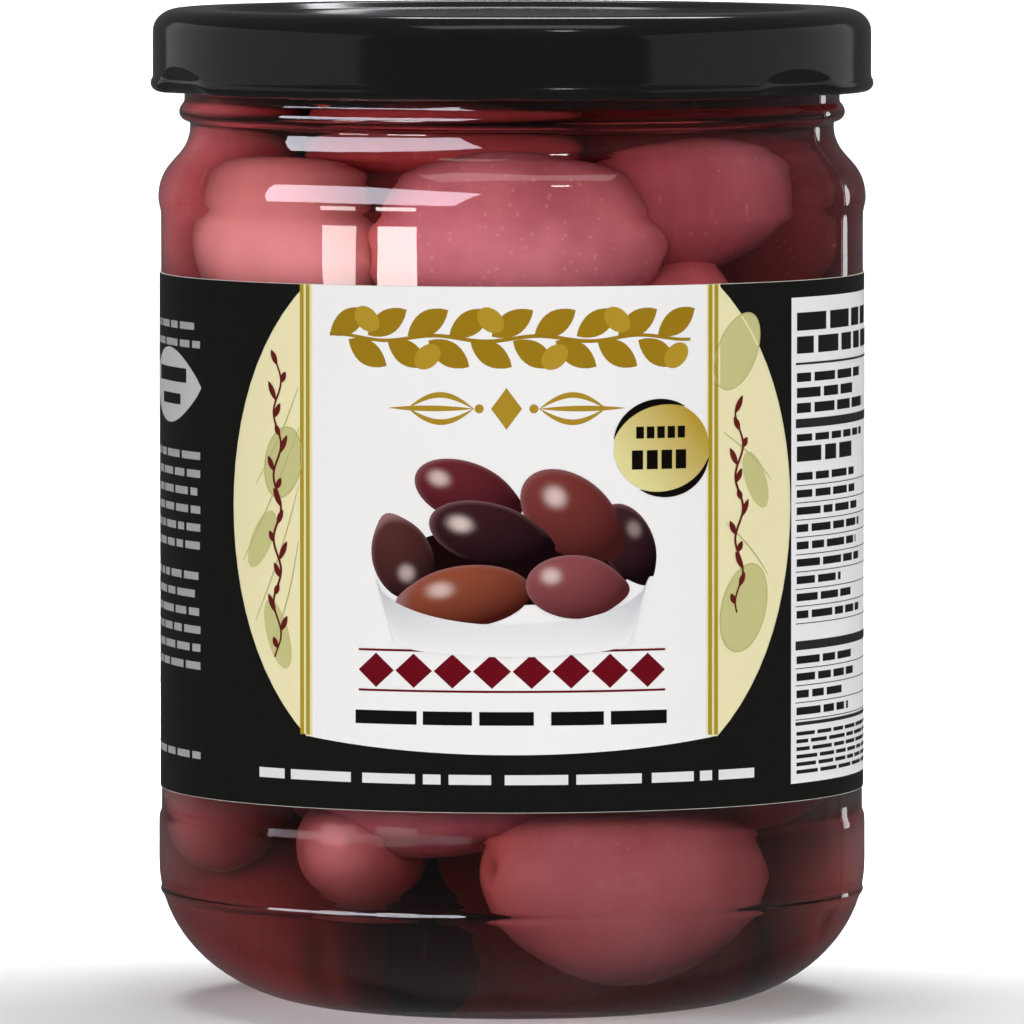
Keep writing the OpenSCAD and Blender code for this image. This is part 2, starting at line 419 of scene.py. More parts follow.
def outsideLine():
    rimR = glass["rimR"]
    lower = (glass["softShoulderR"] - glass["shoulderR"]) * tan(radians((90 - glass["slope"]) / 2))
    beadMid = finishR + glass["beadProud"] - glass["beadR"]
    below = -degrees(acos((neckR - beadMid) / glass["beadR"]))
    above = degrees(acos((finishR - beadMid) / glass["beadR"]))
    return (dome(standR - glass["ringW"], glass["pushUp"], 0)
            + arcPoints((standR, glass["heelH"]), glass["heelW"], glass["heelH"], -90, 0, 48)
            + [(bandR, panelLowZ - glass["heelStepH"]), (panelR, panelLowZ), (panelR, panelHighZ),
               (bandR, panelHighZ + glass["slopeH"])]
            + drawnIn(bandR, shoulderZ - lower, neckR, glass["softShoulderR"], glass["softNeckR"])
            + arcPoints((beadMid, beadZ), glass["beadR"], glass["beadR"], below, above, 12)
            + arcPoints((finishR - rimR, rimZ - rimR), rimR, rimR, 0, 90, 8))


def makeGlass():
    outside = withHeelSeam(softened(outsideLine(), longest=1.2))
    rim = arcPoints((mouthR + glass["rimR"], rimZ - glass["rimR"]), glass["rimR"], glass["rimR"], 90, 180, 8)
    inside = softened(insideLine(rimZ - glass["rimR"]), longest=1.5)
    inside.reverse()
    outline = outside + rim[:-1] + inside
    seamSides = (0.2, 180.2)                    # just off the even turns, so that no two turns fall together
    turns = sorted(evenTurns(glass["turns"]) + [glass["seamTurn"] + side + k * glass["seamWide"]
                                                for side in seamSides for k in (-2, -1, 0, 1, 2)])

    # the mould's seam runs up both sides, over the outside only
    def seam(r, z, turn):
        off = min(abs((turn - glass["seamTurn"] - side + 180) % 360 - 180) for side in seamSides)
        outer = r > innerR + 0.5 if z < shoulderZ else r > mouthR + 2
        up = min(1, max(0, (z - glass["seamStartZ"]) / glass["seamFade"]))
        return (r + glass["seamProud"] * up * exp(-(off / glass["seamWide"]) ** 2), z) if outer else (r, z)

    piece = lathe("jarGlass", outline, turns, seam)
    # where the brine wets the glass, the two hardly reflect between them
    for name, shine in (("jarGlass", glass["dryShine"]), ("jarGlassWet", glass["wetShine"])):
        mat = newMaterial(name)
        waves = noiseNode(mat, 55, 2, where=objectPlace(mat))       # the slow ripple of pressed glass
        shader = put(mat, "BsdfPrincipled", {"Base Color": glass["tint"], "Roughness": 0.0, "IOR": 1.5,
                                             "Transmission Weight": 1.0,
                                             "Specular Tint": (shine, shine, shine, 1)})
        wire(mat, bumped(mat, waves.outputs["Fac"], 0.12, 0.0008), shader.inputs["Normal"])
        piece.data.materials.append(finish(mat, letLampsThrough(mat, shader, glass["shadeTint"])))
    for face in piece.data.polygons:
        level = face.normal.z > 0.5
        inward = face.normal.x * face.center.x + face.normal.y * face.center.y < 0 or level
        wet = inward and face.center.z / mm < (glass["wetFloorZ"] if level else brineTopZ)
        step = abs(face.center.z / mm - panelLowZ) < glass["stepReach"]     # the heel's step doesn't glint
        face.material_index = int(wet or step)
    bpy.data.collections["glassShine"].objects.link(piece)
    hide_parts("glass_jar")
    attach(piece, "root")
    return piece


jarGlass = makeGlass()
print("glass blown:", len(jarGlass.data.polygons), "faces")


# the brine reaches just into the glass
brine = dict(reach=0.12, turns=120, edgeIn=1.2, edgeDip=0.5, dip=0.6,
             absorb=(0.62, 0.15, 0.12, 1), strength=72, deep=(0.97, 0.82, 0.79, 1), pale=(1.0, 0.91, 0.88, 1),
             shine=(0.12, 0.12, 0.12, 1), shadeTint=(0.98, 0.91, 0.90, 1))


def makeBrine():
    reach = brine["reach"]
    inner = insideLine(brineTopZ)
    line = []
    for (r0, z0), (r1, z1) in zip(inner, inner[1:]):
        across = hypot(r1 - r0, z1 - z0) or 1
        line.append((r0 + reach * (z1 - z0) / across if r0 else 0, z0 - reach * (r1 - r0) / across))
    line.append((mouthR + reach, brineTopZ))
    line = softened(line)
    line += [(mouthR - brine["edgeIn"], brineTopZ - brine["edgeDip"]), (0, brineTopZ - brine["dip"])]
    piece = lathe("brine", line, evenTurns(brine["turns"]))
    mat = newMaterial("brine")
    cloud = noiseNode(mat, 60, 3, where=objectPlace(mat))
    tint = mixColours(mat, cloud.outputs["Fac"], brine["deep"], brine["pale"])
    shader = put(mat, "BsdfPrincipled", {"Roughness": 0.0, "IOR": 1.34, "Transmission Weight": 1.0,
                                         "Specular Tint": brine["shine"]})
    wire(mat, tint, shader.inputs["Base Color"])
    volume = put(mat, "VolumeAbsorption", {"Color": brine["absorb"], "Density": brine["strength"]})
    piece.data.materials.append(finish(mat, letLampsThrough(mat, shader, brine["shadeTint"]), volume))
    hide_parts("brine")
    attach(piece, "root")


makeBrine()
print("brine poured")


lid = dict(steel=0.3, play=2.0, threadProud=1.25, edgeW=3, edgeH=2.5, discDrop=0.8, discSlopeW=1.2,
           sealLap=0.3, curlR=0.95, curlProud=0.25, lugs=6, lugTurn=-6, lugHalf=7, lugIn=1.76, dentHalf=12,
           dentSkew=2.5, dentHigh=2.3, dentIn=1.0, foldOver=0.4, sideStep=0.25, turns=288,
           black=(0.006, 0.006, 0.0065, 1), worn=(0.010, 0.010, 0.011, 1))
lidR = finishR + lid["threadProud"] + lid["play"] + lid["steel"]


def makeLid():
    curlMid = lidR + lid["curlProud"] - lid["curlR"]
    curlZ = lidLowZ + lid["curlR"]
    discTop = lidTopZ - lid["discDrop"]
    sealIn, sealOut = mouthR - lid["sealLap"], finishR + lid["sealLap"]
    discR = sealIn - lid["discSlopeW"]
    foldZ = curlZ + lid["dentHigh"]
    steel, sideStep = lid["steel"], lid["sideStep"]
    edgeMid = (lidR - lid["edgeW"], lidTopZ - lid["edgeH"])
    top = softened([(0, discTop), (discR, discTop), (discR + lid["discSlopeW"], lidTopZ)]
                   + arcPoints(edgeMid, lid["edgeW"], lid["edgeH"], 90, 0)
                   + [(lidR, foldZ + 0.6)], longest=3)
    sideTop = foldZ + lid["foldOver"]
    side = [(lidR, sideTop - k * sideStep) for k in range(round((sideTop - curlZ - 0.8) / sideStep))]
    curl = arcPoints((curlMid, curlZ), lid["curlR"], lid["curlR"], 40, -200, 20)
    under = [(lidR - steel - 0.6, curlZ + 0.9), (lidR - steel, curlZ + 1.6)]
    under += arcPoints(edgeMid, lid["edgeW"] - steel, lid["edgeH"] - steel, 0, 90, 8)
    # next the ring that seals on the rim, and the disc's underside
    under += [(sealOut, lidTopZ - steel), (sealOut, rimZ), (sealIn, rimZ),
              (sealIn, lidTopZ - steel), (discR, discTop - steel), (0, discTop - steel)]
    outline = top[:-1] + side + curl + under
    lugPitch = 360 / lid["lugs"]

    # each lug is pressed in from outside, which leaves a fold over a slanting dent
    def press(r, z, turn):
        off = (turn - lid["lugTurn"] + lugPitch / 2) % lugPitch - lugPitch / 2
        skew = off + lid["dentSkew"]
        share = abs(skew) / (lid["dentHalf"] * (1 if skew > 0 else 0.75))
        if share >= 1 or z > sideTop:
            return r, z
        hump = (1 - share ** 2.2) ** 0.8
        edge = curlZ + lid["dentHigh"] * hump - 0.2
        deep = min(1.0, max(0.0, (edge - z) / lid["dentHigh"]))
        deep = deep * deep * (3 - 2 * deep) * 0.4 + deep * 0.6
        inward = lid["dentIn"] * deep * hump ** 0.3
        if z < curlZ + 0.5 and r < curlMid + 0.3:     # the rolled edge is flattened into the lug
            inward += lid["lugIn"] * max(0.0, 1 - (off / lid["lugHalf"]) ** 4)
        return r - inward, z

    piece = lathe("lid", outline, evenTurns(lid["turns"]), press)
    mat = newMaterial("lidLacquer")
    place = objectPlace(mat)
    peel = noiseNode(mat, 900, 2, where=place)          # the orange peel of baked lacquer
    smudge = noiseNode(mat, 70, 4, 0.6, where=place)
    shader = put(mat, "BsdfPrincipled", {"IOR": 1.45, "Specular IOR Level": 0.4, "Coat Weight": 0.06,
                                         "Coat Roughness": 0.05})
    wire(mat, mixColours(mat, smudge.outputs["Fac"], lid["black"], lid["worn"]), shader.inputs["Base Color"])
    wire(mat, mapped(mat, smudge.outputs["Fac"], 0.3, 0.7, 0.10, 0.15), shader.inputs["Roughness"])
    wire(mat, bumped(mat, peel.outputs["Fac"], 0.05, 0.0001), shader.inputs["Normal"])
    piece.data.materials.append(finish(mat, shader))
    bpy.data.collections["lidShine"].objects.link(piece)
    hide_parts("lid")
    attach(piece, "root")
    return piece


lidPiece = makeLid()
print("lid pressed:", len(lidPiece.data.polygons), "faces")


olives = dict(long=29.5, thick=18.5, count=42, seed=11, rings=34, around=26, wallGap=1.1, rounds=400,
              heldTurn=100, coreR=11.5, coreLumps=1.8, coreLowZ=30.0, coreTopDrop=26.0)

# the olives that show, one row each, held where they are at the front and free to settle behind:
# turn round the jar, height, how far in from touching the glass, lean from level, tip towards the glass,
# length, thickness, warmth (0 mauve, 1 coral, more paler, the paleness partly a painted reflection)
shown = [
    (1, 86.0, 0.0, 2, 0, 30.8, 18.5, 0.35),
    (-55, 85.5, 1.5, -3, 5, 27.0, 16.0, 1.4),
    (45, 90.3, 2.5, 10, 20, 22.5, 13.8, 0.1),
    (-97, 88.0, 0.5, 70, 0, 28.0, 16.5, 0.5),
    (-30, 94.0, 14.0, 4, 0, 28.0, 15.0, 0.9),
    (31, 72.3, 1.0, 60, 0, 28.0, 17.0, 0.8),
    (25.5, 17.0, 0.0, -4, -4, 32.0, 19.4, 0.55),
    (-38, 19.4, 1.0, 10, 66, 24.0, 12.5, 1.0),
    (-12, 28.3, 0.0, 9, 0, 29.0, 18.0, 0.0),
    (-83, 30.0, 0.0, 84, 0, 29.0, 17.5, 0.4),
    (42, 38.0, 0.5, 10, 0, 29.0, 17.5, 0.4),
    (-125, 93.5, 0.0, 4, 0, 29.0, 17.5, 0.9),
    (-175, 93.5, 0.0, -4, 0, 29.0, 17.5, 0.8),
    (140, 91.5, 1.0, 8, 0, 29.0, 17.5, 0.3),
]
# pockets of brine that no olive fills: turn, distance from the axis, height, radius
pockets = [(62, 28, 13, 9), (-52, 30, 11, 9), (-47, 31, 22, 7), (-15, 30, 7, 6), (72, 31, 86, 9),
           (50, 32, 80, 5)]


def oliveAxis(turn, lean, tip):
    t, a, b = radians(turn), radians(lean), radians(tip)
    level = np.array((cos(t), sin(t), 0.0))
    outward = np.array((sin(t), -cos(t), 0.0))
    return level * cos(a) * cos(b) + np.array((0, 0, 1.0)) * sin(a) * cos(b) + outward * sin(b)


# three balls stand for an olive while it is packed: [share of half length, share of half thickness]
packBalls = ((-0.52, 0.80), (0.0, 1.0), (0.52, 0.80))
insideProfile = np.array(spaced(softened(insideLine(brineTopZ) + [(0, brineTopZ)]), 0.5))
insideRun = np.gradient(insideProfile, axis=0)
insideWay = np.stack((-insideRun[:, 1], insideRun[:, 0]), 1)
insideWay /= np.hypot(insideRun[:, 0], insideRun[:, 1])[:, None]


def ballsOf(o):
    return [(o["mid"] + o["axis"] * s * o["long"] / 2, w * o["thick"] / 2, s) for s, w in packBalls]


# how far a ball must move to clear the glass, the brine's surface and the core
def wallPush(p, r):
    rho = hypot(p[0], p[1])
    outward = np.array((p[0], p[1], 0)) / max(rho, 1e-6)
    away = np.array((rho, p[2])) - insideProfile
    k = int(np.hypot(away[:, 0], away[:, 1]).argmin())
    way = insideWay[k]
    over = r + olives["wallGap"] - away[k] @ way        # way points inward from the nearest spot of the glass
    push = np.zeros(3)
    if over > 0:
        push += over * (outward * way[0] + np.array((0, 0, way[1])))
    lack = olives["coreR"] + r - rho
    if lack > 0 and 26 < p[2] < rimZ - 28:
        push += outward * lack
    return push


def settleOlives():
    random.seed(olives["seed"])
    pack = []
    hollows = [(np.array(aroundJar(away, radians(turn), z)), r) for turn, away, z, r in pockets]
    for turn, z, inset, lean, tip, long, thick, warm in shown:
        pack.append(dict(mid=np.array(aroundJar(25.0, radians(turn), z)), axis=oliveAxis(turn, lean, tip),
                         long=long, thick=thick, warm=warm, held=abs(turn) < olives["heldTurn"], inset=inset))
    for o in pack:                                      # each held olive moves out until it meets the glass
        out = np.array((o["mid"][0], o["mid"][1], 0))
        out /= np.linalg.norm(out)
        for _ in range(60):
            o["mid"] += out * 0.25
            if any(np.linalg.norm(wallPush(p, r)) > 0 for p, r, _ in ballsOf(o)):
                break
        o["mid"] -= out * o["inset"]
    while len(pack) < olives["count"]:
        turn = random.uniform(0, 360)
        z = random.uniform(14, 92)
        if any(abs((turn - s[0] + 180) % 360 - 180) < 26 and abs(z - s[1]) < 11 for s in shown):
            continue
        size = random.uniform(0.92, 1.06)
        pack.append(dict(mid=np.array(aroundJar(24.0, radians(turn), z)),
                         axis=oliveAxis(turn, random.uniform(-60, 60), random.uniform(-25, 25)),
                         long=olives["long"] * size * random.uniform(0.95, 1.05),
                         thick=olives["thick"] * size, warm=random.random(), held=False, inset=0))
    n = len(pack)
    fixed = np.repeat([o["held"] for o in pack], 3)
    worst = 0
    for step in range(olives["rounds"]):
        balls = [ballsOf(o) for o in pack]
        flat = np.array([b[0] for o in balls for b in o])
        size = np.array([b[1] for o in balls for b in o])
        gap = np.linalg.norm(flat[:, None] - flat[None], axis=2)
        over = size[:, None] + size[None] - gap
        own = np.repeat(np.arange(n), 3)
        over[own[:, None] == own[None]] = 0
        over = np.clip(over, 0, None)
        over[:, fixed] *= 2                             # a held olive doesn't give way
        way = (flat[:, None] - flat[None]) / np.maximum(gap, 1e-6)[..., None]
        push = (way * (over * 0.45)[..., None]).sum(1)
        worst = over.max() / 2
        for i, o in enumerate(pack):
            if o["held"]:
                continue
            turnBy = np.zeros(3)
            moveBy = np.zeros(3)
            for k in range(3):
                p = push[3 * i + k] + wallPush(flat[3 * i + k], size[3 * i + k]) * 0.8
                for mid, r in hollows:
                    off = flat[3 * i + k] - mid
                    far = np.linalg.norm(off)
                    p += off / max(far, 1e-6) * max(0.0, r + size[3 * i + k] - far) * 0.6
                moveBy += p
                turnBy += p * packBalls[k][0]
            calm = max(0.0, 1 - 1.4 * step / olives["rounds"])
            out = np.array((o["mid"][0], o["mid"][1], 0))
            drift = out / max(np.linalg.norm(out), 1e-6) * 0.12 * calm - np.array((0, 0, 0.06 * calm))
            o["mid"] += moveBy / 3 + drift
            o["axis"] = o["axis"] + turnBy / (o["long"] / 2)
            o["axis"] /= np.linalg.norm(o["axis"])
    print("olives settled, pressed together by at most", round(float(worst), 1), "mm")
    return pack


# one olive: fat towards its stem end, with a small scar there and a slight nib at the tip
def addOlive(points, faces, tones, o, k):
    rings, around = olives["rings"], olives["around"]
    axis = Vector(o["axis"])
    side = axis.cross(Vector((0.3, 0.2, 0.93))).normalized()
    other = axis.cross(side)
    start = len(points)
    salt = Vector((k * 3.7, k * 1.3, k * 2.1))
    for i in range(rings + 1):
        t = i / rings
        along = -cos(pi * t)
        wide = sin(pi * t) ** 0.94 * (1 + 0.07 * cos(pi * t) - 0.03 * cos(2 * pi * t))
        nib = 0.035 * exp(-((t - 1) / 0.05) ** 2)
        scar = 0.05 * exp(-(t / 0.035) ** 2)
        for j in range(around):
            a = 2 * pi * j / around
            ray = side * cos(a) + other * sin(a)
            p = axis * (along + nib + scar) * o["long"] / 2 + ray * wide * o["thick"] / 2
            lump = noise.noise(p * 0.09 + salt) * 0.55 + noise.noise(p * 0.3 + salt) * 0.12
            p += p.normalized() * lump
            points.append(tuple(Vector(o["mid"]) + p))
            tones.append((o["warm"], t))
    for i in range(rings):
        for j in range(around):
            a, b = start + i * around + j, start + i * around + (j + 1) % around
            faces.append((a, b, b + around, a + around))


# pale is partly a painted reflection: the whitish veil that the glass lays over the olives on the left
skin = dict(mauveDark=(0.35, 0.105, 0.155, 1), mauveLight=(0.49, 0.175, 0.23, 1), pale=(0.72, 0.40, 0.42, 1),
            coralDark=(0.54, 0.155, 0.165, 1), coralLight=(0.66, 0.235, 0.245, 1), stem=(0.68, 0.22, 0.18, 1),
            # inner: painted shade, the dark of the shaded middle of the heap
            scar=(0.22, 0.06, 0.06, 1), dots=(0.85, 0.5, 0.45, 1), inner=(0.05, 0.012, 0.012, 1),
            # low: painted shade, the dark that the olives near the jar's foot are drawn towards
            low=(0.13, 0.022, 0.026, 1))


def oliveSkin(name, litShare=1.0):
    mat = newMaterial(name)
    place = objectPlace(mat)
    warmth = put(mat, "Attribute", attribute_name="warmth").outputs["Fac"]      # mauve, coral, then pale
    along = put(mat, "Attribute", attribute_name="along").outputs["Fac"]
    mottle = noiseNode(mat, 130, 5, 0.6, where=place).outputs["Fac"]
    patch = noiseNode(mat, 45, 2, where=place).outputs["Fac"]
    mauve = mixColours(mat, mapped(mat, mottle, 0.3, 0.7, 0, 1), skin["mauveDark"], skin["mauveLight"])
    coral = mixColours(mat, mapped(mat, mottle, 0.3, 0.7, 0, 1), skin["coralDark"], skin["coralLight"])
    body = mixColours(mat, mapped(mat, patch, 0.3, 0.7, 0, 1), mauve, coral)
    body = mixColours(mat, warmth, mauve, body)
    # partly painted reflection: warmth beyond 0.9 pales the skin, standing in part for the glass's veil
    body = mixColours(mat, mapped(mat, warmth, 0.9, 1.4, 0, 0.5), body, skin["pale"])
    body = mixColours(mat, mapped(mat, along, 0.0, 0.22, 0.75, 0.0), body, skin["stem"])
    body = mixColours(mat, mapped(mat, along, 0.0, 0.045, 0.9, 0.0), body, skin["scar"])
    specks = put(mat, "TexVoronoi", {"Scale": 900.0})
    wire(mat, place, specks.inputs["Vector"])
    dots = mapped(mat, specks.outputs["Distance"], 0.12, 0.2, 0.22, 0.0)
    body = mixColours(mat, dots, body, skin["dots"])
    # painted shade: below 1, litShare draws the skin towards the inner dark
    body = mixColours(mat, litShare, skin["inner"], body)
    # painted shade: lower down, the skin is drawn towards low, as if the lower olives lay in shadow
    height = put(mat, "SeparateXYZ")
    wire(mat, place, height.inputs[0])
    low = mapped(mat, height.outputs["Z"], 0.012, 0.080, 0.62, 0.0)     # the lower olives are the darker ones
    body = mixColours(mat, low, body, skin["low"])
    shader = put(mat, "BsdfPrincipled", {"Roughness": 0.42, "IOR": 1.4, "Specular IOR Level": 0.22})
    wire(mat, body, shader.inputs["Base Color"])
    fine = noiseNode(mat, 600, 3, where=place).outputs["Fac"]
    wire(mat, bumped(mat, fine, 0.10, 0.0002), shader.inputs["Normal"])
    return finish(mat, shader)


def makeOlives():
    pack = settleOlives()
    points, faces, tones = [], [], []
    for k, o in enumerate(pack):
        addOlive(points, faces, tones, o, k)
    piece = linkMesh("olives", points, faces)
    for name, column in (("warmth", 0), ("along", 1)):
        layer = piece.data.attributes.new(name, "FLOAT", "POINT")
        layer.data.foreach_set("value", [t[column] for t in tones])
    faceOutward(piece.data, 1e-6)
    piece.data.materials.append(oliveSkin("oliveSkin"))
    bpy.data.collections["olivesShine"].objects.link(piece)
    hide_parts("olives")
    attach(piece, "root")
    return piece


# the middle of the heap, which the outer olives hide
def makeCore():
    low, high = olives["coreLowZ"], rimZ - olives["coreTopDrop"]
    line = [(olives["coreR"] * sin(a) ** 0.35, low + (high - low) * (1 - cos(a)) / 2)
            for a in [pi * i / 40 for i in range(1, 40)]]
    line = [(0, low)] + line + [(0, high)]

    def lumpy(r, z, turn):
        p = Vector((r * cos(radians(turn)), r * sin(radians(turn)), z))
        return r + olives["coreLumps"] * noise.noise(p * 0.11), z

    piece = lathe("oliveCore", line, evenTurns(48), lumpy)
    piece.data.attributes.new("warmth", "FLOAT", "POINT")
    along = piece.data.attributes.new("along", "FLOAT", "POINT")
    along.data.foreach_set("value", [0.5] * len(piece.data.vertices))       # away from the stem's colour
    # painted shade: the core's skin is mostly the inner dark, for the shade in the middle of the heap
    piece.data.materials.append(oliveSkin("oliveCoreShadedSkin", 0.25))
    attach(piece, "root")


olivePiece = makeOlives()
makeCore()
print("olives packed:", len(olivePiece.data.polygons), "faces")


# the label: a paper sheet with every ink laid on it as a thin shape of its own, measured along the sheet
# in mm: s to the right of the middle, z up from the table
label = dict(thick=0.15, paper=0.14, backGap=7.0, edge=0.05, cut=1.5, firstInk=0.004, inkStep=0.012,
             inkThick=0.008, panelEdge=23.3, lensEdge=24.1, lensOut=35.3, footZ=32.5, footSag=1.6)
sheetR = labelR - label["thick"]
sheetHalf = pi * sheetR - label["backGap"] / 2
inkTopZ = labelHighZ - label["edge"]
inkPieces = []
inks = dict(paper=(232, 230, 222), black=(31, 31, 30), cream=(246, 238, 190), white=(250, 250, 250),
            pale=(240, 235, 190), stripe=(176, 150, 40), wingFill=(206, 203, 140), wingLine=(186, 188, 128),
            spray=(104, 36, 34), gold=(160, 126, 30), fruit=(184, 150, 48), swash=(176, 142, 44),
            maroon=(110, 18, 32), words=(26, 26, 28), foot=(236, 236, 236), table=(246, 246, 248),
            facts=(36, 36, 38), rules=(48, 48, 50), smallPrint=(176, 176, 176), codeField=(240, 240, 240),
            code=(24, 24, 24), oval=(205, 205, 205), ovalBars=(36, 36, 36), hollow=(30, 14, 16),
            oliveRim=(150, 110, 112), oliveShine=(238, 214, 208), china=(236, 237, 240),
            chinaSide=(198, 200, 206), giltLight=(232, 224, 158), giltDark=(186, 152, 44), badge=(24, 20, 16))


def ink(rgb):
    return tuple((c / 255) ** 2.2 * 0.92 for c in rgb) + (1,)


def onSheet(s, z, r):
    return aroundJar(r, s / labelR, z)


# radius at which an ink's underside lies; a higher level covers a lower one
def inkR(level):
    return labelR + label["firstInk"] + level * label["inkStep"]


# the spot u along and v across from mid, on a shape that leans
def leaned(mid, u, v, lean):
    c, s = cos(radians(lean)), sin(radians(lean))
    return (mid[0] + u * c - v * s, mid[1] + u * s + v * c)


def ovalLine(mid, w, h, lean=0.0, points=36):
    return [leaned(mid, w * cos(a), h * sin(a), lean) for a in [2 * pi * i / points for i in range(points)]]


def barLine(s0, s1, z0, z1):
    return [(s0, z0), (s1, z0), (s1, z1), (s0, z1)]


# a leaf from its foot, pointed at both ends
def leafLine(foot, long, wide, lean, points=9):
    side = [(i / points * long, wide / 2 * sin(pi * i / points) ** 0.8) for i in range(points + 1)]
    return [leaned(foot, u, v, lean) for u, v in side + [(u, -v) for u, v in side[-2:0:-1]]]


# a brush stroke along points; its width swells in the middle when it is tapered
def strokeLine(path, width, taper=0.0):
    left, right = [], []
    for i, p in enumerate(path):
        a, b = path[max(i - 1, 0)], path[min(i + 1, len(path) - 1)]
        d = hypot(b[0] - a[0], b[1] - a[1]) or 1
        half = width / 2 * (1 - taper * (2 * i / (len(path) - 1) - 1) ** 2)
        left.append((p[0] - (b[1] - a[1]) / d * half, p[1] + (b[0] - a[0]) / d * half))
        right.append((p[0] + (b[1] - a[1]) / d * half, p[1] - (b[0] - a[0]) / d * half))
    return left + right[::-1]


def ringLine(mid, w, h, lean, width):
    outer = ovalLine(mid, w, h, lean)
    return strokeLine(outer + outer[:1], width)


# printed inks are flat where a colour is given, and otherwise shaded by the piece's own ink layer
def inkSkin(name, colour=None, rough=0.42):
    mat = newMaterial(name)
    tooth = noiseNode(mat, 1500, 3, where=objectPlace(mat)).outputs["Fac"]
    shader = put(mat, "BsdfPrincipled", {"IOR": 1.45, "Specular IOR Level": 0.14, "Roughness": rough})
    if colour:
        shader.inputs["Base Color"].default_value = ink(colour)
    else:
        wire(mat, put(mat, "Attribute", attribute_name="ink").outputs["Color"], shader.inputs["Base Color"])
    wire(mat, bumped(mat, tooth, 0.12, 0.00005), shader.inputs["Normal"])
    return finish(mat, shader)


# lays flat outlines on the sheet, cut into strips that bend round the jar, and gives them an ink's thickness
def printInk(name, outlines, colour, level, rough=0.42):
    bm = bmesh.new()
    for line in outlines:
        bm.faces.new([bm.verts.new((s, z, 0)) for s, z in line])
    bmesh.ops.triangulate(bm, faces=bm.faces[:])
    along = [v.co.x for v in bm.verts]
    cut = label["cut"]
    for k in range(int(min(along) // cut) + 1, int(max(along) // cut) + 1):
        bmesh.ops.bisect_plane(bm, geom=bm.verts[:] + bm.edges[:] + bm.faces[:], plane_co=(k * cut, 0, 0),
                               plane_no=(1, 0, 0))
    grown = bmesh.ops.extrude_face_region(bm, geom=bm.faces[:])
    for v in grown["geom"]:
        if isinstance(v, bmesh.types.BMVert):
            v.co.z = label["inkThick"]
    bmesh.ops.recalc_face_normals(bm, faces=bm.faces[:])
    for v in bm.verts:
        v.co = Vector(onSheet(v.co.x, v.co.y, inkR(level) + v.co.z)) * mm
    mesh = bpy.data.meshes.new(name)
    bm.to_mesh(mesh)
    bm.free()
    piece = linkPiece(name, mesh)
    mesh.set_sharp_from_angle(angle=radians(40))
    mesh.materials.append(inkSkin(name, colour, rough))
    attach(piece, "root")
    inkPieces.append(piece)


def makePaper():
    steps = 240
    angles = evenly(-sheetHalf / labelR, sheetHalf / labelR, steps)
    points, faces = [], []
    for r in (sheetR, sheetR + label["paper"]):
        for z in (labelLowZ, labelHighZ):
            points += [aroundJar(r, a, z) for a in angles]
    n = steps + 1
    for i in range(steps):
        for a, b in ((0, 1), (1, 3), (3, 2), (2, 0)):
            faces.append((a * n + i, a * n + i + 1, b * n + i + 1, b * n + i))
    faces += [(0, n, 3 * n, 2 * n), (n - 1, 3 * n - 1, 4 * n - 1, 2 * n - 1)]
    piece = linkMesh("labelPaper", points, faces)
    faceOutward(piece.data)
    piece.data.set_sharp_from_angle(angle=radians(40))
    piece.data.materials.append(inkSkin("labelPaper", inks["paper"], 0.7))
    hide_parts("label")
    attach(piece, "root")


# the cream field is a lens cut off straight at the top and bowed at the foot
def lensSide(sign, steps=24):
    edge, foot = label["lensEdge"], label["footZ"]
    half = (inkTopZ - foot) / 2
    sag = label["lensOut"] - edge
    r = (half * half + sag * sag) / (2 * sag)
    start = asin(half / r)
    return [(sign * (edge - (r - sag) + r * cos(a)), (inkTopZ + foot) / 2 + r * sin(a))
            for a in evenly(start, -start, steps)]


def footArc(s0, s1, steps=20):
    return [(s, label["footZ"] - label["footSag"] * (1 - (s / label["lensEdge"]) ** 2))
            for s in evenly(s0, s1, steps)]


# a garland of leaves with small olives along a line, for the places of the names
def garland(s0, s1, z, leaf, wide, pitch):
    leaves, fruits = [], []
    count = round((s1 - s0) / pitch)
    for k in range(count):
        s = s0 + (k + 0.5) * (s1 - s0) / count
        up = 1 if k % 2 == 0 else -1
        leaves.append(leafLine((s - leaf * 0.36, z + up * 0.25), leaf, wide, up * 32))
        if k % 3 == 1:
            fruits.append(ovalLine((s + 0.3, z - up * wide * 0.75), wide * 0.62, wide * 0.45, up * 40, 20))
    return leaves, fruits


# black sheet, cream lens and white panel, with the pale line round the lens and the gold stripes by the panel
def printGround():
    edge, lensEdge = label["panelEdge"], label["lensEdge"]
    sides = {sign: lensSide(sign) for sign in (1, -1)}
    lens = sides[1][:-1] + footArc(lensEdge, -lensEdge) + sides[-1][::-1][1:]
    printInk("labelBlack", [barLine(-sheetHalf + 0.1, sheetHalf - 0.1, labelLowZ + label["edge"], inkTopZ)],
             inks["black"], 0, 0.34)
    printInk("labelCream", [lens], inks["cream"], 1)
    printInk("labelWhite", [[(edge, inkTopZ), (-edge, inkTopZ)] + footArc(-edge, edge)], inks["white"], 2)
    pale = [strokeLine([(s - sign * 0.12, z) for s, z in side], 0.22) for sign, side in sides.items()]
    pale += [barLine(s, s + 0.28, label["footZ"] + 0.25, inkTopZ) for s in (-24.45, -23.7, 22.6, 23.4, 24.15)]
    printInk("labelPale", pale, inks["pale"], 3)
    stripes = [barLine(s, s + 0.5, label["footZ"] + 0.15, inkTopZ) for s in (-24.95, -24.15, 22.85, 23.65)]
    printInk("labelStripe", stripes, inks["stripe"], 4, 0.35)


